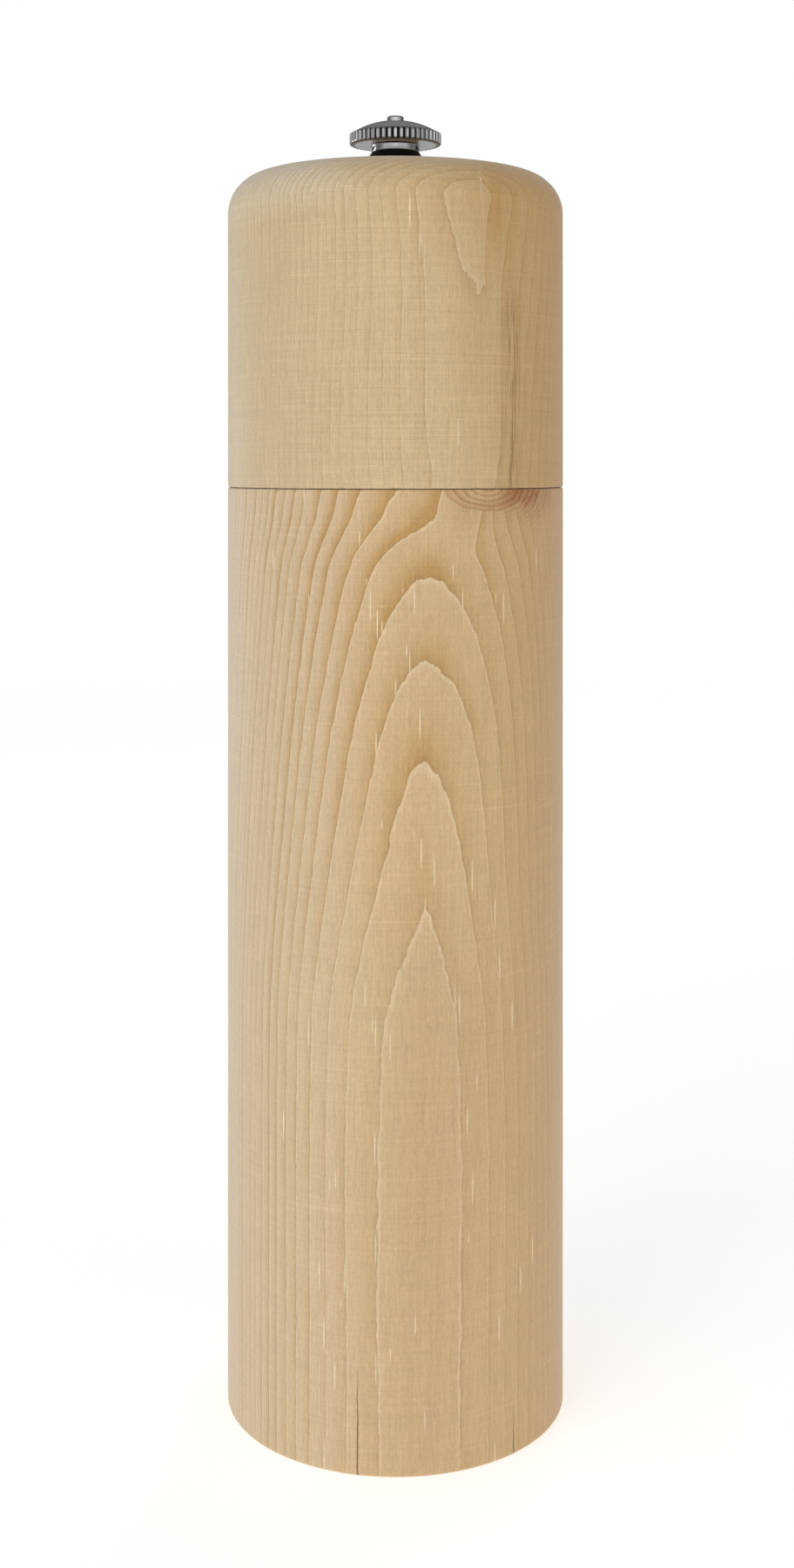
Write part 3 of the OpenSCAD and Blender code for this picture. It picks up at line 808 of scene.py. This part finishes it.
def head_outline():
    """From the plate's seat out and up the tenon, up the wall, over the crown, and down the bore."""
    bottom = SEAM_Z + SEAM_GAP
    tenon_end = plate_low.z
    tenon_edge = 0.6 * MM
    crown_centre = CROWN_Z - CROWN_R
    shoulder_x = MILL_R - SHOULDER_R
    reach = CROWN_R - SHOULDER_R
    shoulder_z = crown_centre + math.sqrt(reach ** 2 - shoulder_x ** 2)
    tangent = math.degrees(math.acos(shoulder_x / reach))
    seat_r = 6.9 * MM
    seat_z = collar_low.z
    lip = math.degrees(math.acos(seat_r / CROWN_R))
    plate_r = plate_high.x
    bush_r = bush_high.x
    outline = line((plate_r, tenon_end), (TENON_R - tenon_edge, tenon_end), 1.5 * MM)
    outline += [(TENON_R - tenon_edge, tenon_end), (TENON_R, tenon_end + tenon_edge)]
    outline += line((TENON_R, tenon_end + 2.0 * MM), (TENON_R, bottom), 2.0 * MM)
    outline += line((TENON_R, bottom), (MILL_R - SEAM_SOFT, bottom), 1.5 * MM)
    outline += arc(MILL_R - SEAM_SOFT, bottom + SEAM_SOFT, SEAM_SOFT, -90, 0, 4)
    outline += line((MILL_R, bottom + SEAM_SOFT + SEAM_STEP), (MILL_R, bottom + SEAM_BAND), SEAM_STEP)
    outline += line((MILL_R, bottom + SEAM_BAND), (MILL_R, shoulder_z - 0.5 * MM), WALL_STEP)
    outline += arc(shoulder_x, shoulder_z, SHOULDER_R, 0, tangent, 24)
    outline += arc(0.0, crown_centre, CROWN_R, tangent, lip, 30)[1:]
    outline += [(seat_r - 0.02 * MM, seat_z)]
    outline += line((seat_r - 0.4 * MM, seat_z), (bush_r, seat_z), 0.6 * MM)
    outline += [(bush_r, seat_z), (bush_r, bush_low.z), (HEAD_BORE_R, bush_low.z)]
    outline += line((HEAD_BORE_R, bush_low.z - 2.0 * MM), (HEAD_BORE_R, plate_high.z), 3.0 * MM)
    outline += [(HEAD_BORE_R, plate_high.z), (plate_r, plate_high.z)]
    return outline


WALL_SEGMENTS = 360
body = turned("mill_body", body_outline(), WALL_SEGMENTS, seam_chips)
sharpen(body)
place(body, "body", wood_body, "wood_body", "body_shell")

head = turned("mill_head", head_outline(), WALL_SEGMENTS, seam_chips)
sharpen(head)
place(head, "head", wood_head, "wood_head", "head_shell")


# ---------------------------------------------------------------- knurled nut and collar

KNURLS = 48
KNURL_SEGMENTS = 16
KNURL_DEPTH = 0.5 * MM
KNURL_REACH = 1.05 * MM
KNURL_RUN_OUT = 0.8 * MM
GROOVE_SHARE = 0.62
GROOVE_CURVE = 0.85
NECK_R = 5.0 * MM
KNOB_RISE = 2.8 * MM
TIP_HOLE_R = 1.805 * MM
KNOB_R = knob_high.x
DISC_Z = knob_low.z + DISC_UP
KNURL_TOP = DISC_Z + KNURL_BAND


def knob_outline():
    """From the bore out round the neck and under the disc, up the rim, and over the crown."""
    rim = 0.45 * MM
    neck_edge = 0.2 * MM
    neck_soft = 0.25 * MM
    edge_r = KNOB_R - 0.25 * MM
    ball = (edge_r ** 2 + KNOB_RISE ** 2) / (2 * KNOB_RISE)
    centre = knob_high.z - ball
    start = math.degrees(math.acos(edge_r / ball))
    lip = math.degrees(math.acos(TIP_HOLE_R / ball))
    bore_r = insert_high.x
    outline = line((bore_r, knob_low.z), (NECK_R - neck_edge, knob_low.z), 0.4 * MM)
    outline += arc(NECK_R - neck_edge, knob_low.z + neck_edge, neck_edge, -90, 0, 3)
    outline += arc(NECK_R + neck_soft, DISC_Z - neck_soft, neck_soft, 180, 90, 4)
    outline += line((NECK_R + 0.6 * MM, DISC_Z), (KNOB_R - rim - 0.2 * MM, DISC_Z), 0.7 * MM)
    outline += arc(KNOB_R - rim, DISC_Z + rim, rim, -85, 0, 6)
    outline += line((KNOB_R, DISC_Z + rim + 0.15 * MM), (KNOB_R, KNURL_TOP - 0.2 * MM), 0.2 * MM)
    outline += [(KNOB_R - 0.06 * MM, KNURL_TOP - 0.06 * MM)]
    outline += arc(0.0, centre, ball, start, lip, 34)
    outline += line((TIP_HOLE_R, knob_high.z - 0.3 * MM), (TIP_HOLE_R, insert_high.z), 0.4 * MM)
    outline += [(TIP_HOLE_R, insert_high.z)]
    outline += line((bore_r, insert_high.z), (bore_r, knob_low.z), 1.0 * MM)
    return outline


def knurl(x, y, z, r):
    """Straight grooves round the rim: rounded ribs, and V grooves that run out under the crown's lip."""
    turn = math.atan2(y, x) / (2 * math.pi) * KNURLS
    across = abs(turn - math.floor(turn) - 0.5) * 2
    groove = max(0.0, 1.0 - across / GROOVE_SHARE) ** GROOVE_CURVE
    full_depth = min(1.0, max(0.0, (r - (KNOB_R - KNURL_REACH)) / KNURL_RUN_OUT))
    scale = (r - KNURL_DEPTH * groove * full_depth) / r
    return (x * scale, y * scale, z)


knob = turned("knurled_nut", knob_outline(), KNURLS * KNURL_SEGMENTS, knurl)
sharpen(knob, 50.0)
place(knob, "nut", knob_nickel, "plated_knob", "knob")


def collar_outline():
    """From the bore out along the foot, up its edge, and in over the flare to the neck."""
    foot_r = collar_high.x
    low, high = collar_low.z, collar_high.z
    bore = 2.7 * MM
    edge = 0.15 * MM
    outline = [(bore, low), (foot_r - edge, low), (foot_r, low + edge), (foot_r, low + 3 * edge)]
    outline += arc(foot_r - 0.1 * MM, low + 0.5 * MM, 0.1 * MM, 0, 50, 3)
    outline += [(NECK_R + 0.65 * MM, high - 1.1 * MM), (NECK_R + 0.25 * MM, high - 0.35 * MM)]
    outline += [(NECK_R + 0.03 * MM, high - 0.08 * MM), (NECK_R - 0.08 * MM, high), (bore, high)]
    return outline


COLLAR_SEGMENTS = 160
collar = turned("nut_collar", collar_outline(), COLLAR_SEGMENTS)
sharpen(collar)
place(collar, "collar", collar_black, "black_collar", "knob_washer")


# ---------------------------------------------------------------- spring

WIRE_R = 0.5 * MM
COIL_TURNS = 5.3
CLOSED_TURNS = 0.9
CLOSED_PITCH = 2.12 * WIRE_R
COIL_RISE = spring_high.z - spring_low.z - 2 * WIRE_R
OPEN_PITCH = (COIL_RISE - 2 * CLOSED_TURNS * CLOSED_PITCH) / (COIL_TURNS - 2 * CLOSED_TURNS)


def coil_height(turn):
    """How far the wire's centreline has risen after so many turns: closed ends and an open middle."""
    if turn < CLOSED_TURNS:
        return turn * CLOSED_PITCH
    if turn > COIL_TURNS - CLOSED_TURNS:
        return COIL_RISE - (COIL_TURNS - turn) * CLOSED_PITCH
    return CLOSED_TURNS * CLOSED_PITCH + (turn - CLOSED_TURNS) * OPEN_PITCH


def coil():
    """The spring's wire, swept along its own centreline."""
    radius = spring_high.x - WIRE_R
    sides, rings = 16, 420
    verts = []
    for i in range(rings):
        turn = COIL_TURNS * i / (rings - 1)
        a = 2 * math.pi * turn
        middle_z = spring_low.z + WIRE_R + coil_height(turn)
        for s in range(sides):
            b = 2 * math.pi * s / sides
            r = radius + WIRE_R * math.cos(b)
            verts.append((r * math.cos(a), r * math.sin(a), middle_z + WIRE_R * math.sin(b)))
    last = (rings - 1) * sides
    faces = [tuple(range(sides - 1, -1, -1)), tuple(last + s for s in range(sides))]
    for i in range(rings - 1):
        here, there = i * sides, (i + 1) * sides
        for s in range(sides):
            n = (s + 1) % sides
            faces.append((here + s, here + n, there + n, there + s))
    return mesh_piece("coil_spring", verts, faces)


spring = coil()
sharpen(spring)
place(spring, "body", steel_spring, "spring_steel", "spring")
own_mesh(spring)


# ---------------------------------------------------------------- floor, light and camera

FLOOR_R = 3.0
FLOOR_DROP = 0.05 * MM
FLOOR_GLOW = 0.52
FADE_FROM = 350.0
FADE_TO = 1400.0


def floor():
    """A pale round floor that fades out, just under the mill so that no faces share its plane."""
    mesh = bpy.data.meshes.new("floor")
    shape = bmesh.new()
    bmesh.ops.create_circle(shape, cap_ends=True, segments=96, radius=FLOOR_R)
    shape.to_mesh(mesh)
    shape.free()
    piece = bpy.data.objects.new("floor", mesh)
    piece.location.z = -FLOOR_DROP
    scene.collection.objects.link(piece)
    p = Paint("pale_floor")
    speck = p.noise(p.stretched(across=40.0, along=40.0))
    distance = (p.x * p.x + p.y * p.y).sqrt()
    fade = distance.rise(FADE_TO, FADE_FROM)
    p.finish(p.shade((0.90, 0.90, 0.90, 1.0), 1.0 + speck * 0.01), 0.85, emission_strength=FLOOR_GLOW)
    p.shader.inputs["Emission Color"].default_value = (1.0, 1.0, 1.0, 1.0)
    plug(p.tree, p.shader.inputs["Alpha"], fade)
    mesh.materials.append(p.material)


def soft_light(name, at, size, power, tint=(1.0, 1.0, 1.0), glossy=False):
    """A rectangular lamp aimed at the middle of the mill."""
    lamp = bpy.data.lights.new(name, "AREA")
    lamp.shape = "RECTANGLE"
    lamp.size, lamp.size_y = size
    lamp.energy = power
    lamp.color = tint
    piece = bpy.data.objects.new(name, lamp)
    piece.location = at
    middle = Vector((0.0, 0.0, cad_box[1][2] / 2))
    piece.rotation_euler = (middle - Vector(at)).to_track_quat("-Z", "Y").to_euler()
    piece.visible_glossy = glossy
    scene.collection.objects.link(piece)


WALL_BRIGHT = 0.03
WINDOW_BRIGHT = 1.1
SLATS = 7
SLATS_BRIGHT = 0.22
CEILING_LOW = 0.20
CEILING_HIGH = 0.32
TABLE_BRIGHT = 0.50


def room_light(across, depth, height):
    """How bright the grey room is in each direction: a window on the wall, slats, a ceiling and a table."""
    turn = depth.op("ARCTAN2", across)
    window = ((turn * -1.0).sin() * 0.5 + 0.5) ** 3.0
    slats = ((turn * SLATS).sin() * 0.5 + 0.5) ** 2.0
    wall = window * WINDOW_BRIGHT + slats * SLATS_BRIGHT + WALL_BRIGHT
    ceiling = height.rise(0.35, 0.8) * (CEILING_HIGH - CEILING_LOW) + CEILING_LOW
    on_wall = height.rise(0.45, 0.25)
    room = on_wall * wall + (1.0 - on_wall) * ceiling
    on_table = height.rise(-0.03, -0.10)
    return room * (1.0 - on_table) + on_table * TABLE_BRIGHT


def studio():
    """A white room for the camera, which everything else sees as a grey one."""
    world = bpy.data.worlds.new("studio")
    scene.world = world
    world.use_nodes = True
    tree = world.node_tree
    tree.nodes.clear()
    output = tree.nodes.new("ShaderNodeOutputWorld")
    seen = tree.nodes.new("ShaderNodeBackground")
    felt = tree.nodes.new("ShaderNodeBackground")
    choose = tree.nodes.new("ShaderNodeMixShader")
    path = tree.nodes.new("ShaderNodeLightPath")
    seen.inputs["Color"].default_value = (1.0, 1.0, 1.0, 1.0)
    direction = tree.nodes.new("ShaderNodeTexCoord")
    split = tree.nodes.new("ShaderNodeSeparateXYZ")
    tree.links.new(direction.outputs["Generated"], split.inputs[0])
    room = room_light(*(Num(tree, split.outputs[i]) for i in range(3)))
    tint = tree.nodes.new("ShaderNodeCombineColor")
    for slot in tint.inputs:
        plug(tree, slot, room)
    tree.links.new(tint.outputs[0], felt.inputs["Color"])
    tree.links.new(path.outputs["Is Camera Ray"], choose.inputs[0])
    tree.links.new(felt.outputs[0], choose.inputs[1])
    tree.links.new(seen.outputs[0], choose.inputs[2])
    tree.links.new(choose.outputs[0], output.inputs[0])


CAMERA_AWAY = 0.407
CAMERA_HEIGHT = 0.1948
CAMERA_LENS = 44.6
CAMERA_SENSOR = 36.0
CAMERA_SHIFT = (0.001, -0.2056)


def look():
    """A level camera in front of the mill, with its picture shifted to stand the mill in the frame."""
    lens = bpy.data.cameras.new("camera")
    lens.sensor_width = CAMERA_SENSOR
    lens.lens = CAMERA_LENS
    lens.shift_x, lens.shift_y = CAMERA_SHIFT
    piece = bpy.data.objects.new("camera", lens)
    piece.location = (0.0, -CAMERA_AWAY, CAMERA_HEIGHT)
    piece.rotation_euler = (math.radians(90.0), 0.0, 0.0)
    scene.collection.objects.link(piece)
    scene.camera = piece
    scene.view_settings.view_transform = "Standard"


floor()
studio()
soft_light("key", at=(-0.75, -0.95, 0.75), size=(0.9, 1.1), power=5.1, tint=(1.0, 0.99, 0.97))
soft_light("fill", at=(0.95, -0.75, 0.35), size=(0.8, 1.0), power=1.9, tint=(1.0, 0.94, 0.82))
soft_light("window", at=(-1.3, -0.25, 0.4), size=(0.8, 1.0), power=1.5, tint=(0.38, 0.66, 1.0))
soft_light("rim", at=(-1.0, 0.75, 0.16), size=(0.7, 0.30), power=2.4, tint=(0.90, 0.95, 1.0), glossy=True)
soft_light("back", at=(0.5, 1.0, 0.8), size=(0.9, 0.9), power=2.8)
look()
